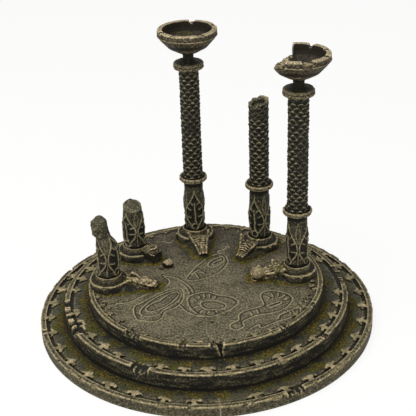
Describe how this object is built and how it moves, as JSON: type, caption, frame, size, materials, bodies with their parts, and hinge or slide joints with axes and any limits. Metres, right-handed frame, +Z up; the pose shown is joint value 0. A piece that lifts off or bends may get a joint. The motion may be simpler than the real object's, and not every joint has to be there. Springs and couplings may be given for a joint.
{
  "type": "miniature terrain ruin",
  "caption": "Round stepped dais for tabletop games, with a half circle of carved columns, some broken, carved beast heads at their feet and fire bowls on top.",
  "frame": {"origin": "centre of the underside of the round dais, on the table", "axes": "+Z up along the columns, -Y towards the open front of the dais, +X to the right seen from the front"},
  "size_m": [0.24, 0.24, 0.1961],
  "materials": {
    "step_stone_paint": "moulded plastic, matte dark grey-brown stone paint with dry-brushed tan edges and mossy corners",
    "floor_stone_paint": "moulded plastic with a fine stone grain, matte paint, raised lines picked out by dry brushing",
    "carved_stone_paint": "moulded plastic, matte dark stone paint, tan edges, moss round the foot",
    "head_stone_paint": "moulded plastic, matte stone paint, heavily dry-brushed tan",
    "column_stone_paint": "moulded plastic, matte near-black stone paint with dry-brushed olive-grey edges",
    "bowl_stone_paint": "moulded plastic, matte stone paint, bright dry-brushed rim, brown inside",
    "rubble_stone_paint": "moulded plastic, matte stone paint, dry-brushed tan"
  },
  "bodies": {
    "root": {"lower_step_left": "step_stone_paint", "lower_step_right": "step_stone_paint", "middle_step": "step_stone_paint", "top_platform": "floor_stone_paint", "plinth_back": "carved_stone_paint", "plinth_back_right": "carved_stone_paint", "plinth_right": "carved_stone_paint", "plinth_left": "carved_stone_paint", "plinth_back_left": "carved_stone_paint", "beast_head_back": "head_stone_paint", "beast_head_back_right": "head_stone_paint", "beast_head_right": "head_stone_paint", "beast_head_left": "head_stone_paint", "broken_head_back_left": "head_stone_paint", "drum_back": "column_stone_paint", "drum_back_right": "column_stone_paint", "drum_right": "column_stone_paint", "broken_drum_left": "column_stone_paint", "stump_back_left": "column_stone_paint", "collar_back": "column_stone_paint", "collar_back_right": "column_stone_paint", "collar_right": "column_stone_paint", "shaft_back": "column_stone_paint", "broken_shaft_back_right": "column_stone_paint", "shaft_right": "column_stone_paint", "capital_back": "column_stone_paint", "capital_right": "column_stone_paint", "bowl_back": "bowl_stone_paint", "broken_bowl_right": "bowl_stone_paint", "fallen_block": "rubble_stone_paint", "rubble_chips": "rubble_stone_paint"}
  },
  "joints": []
}
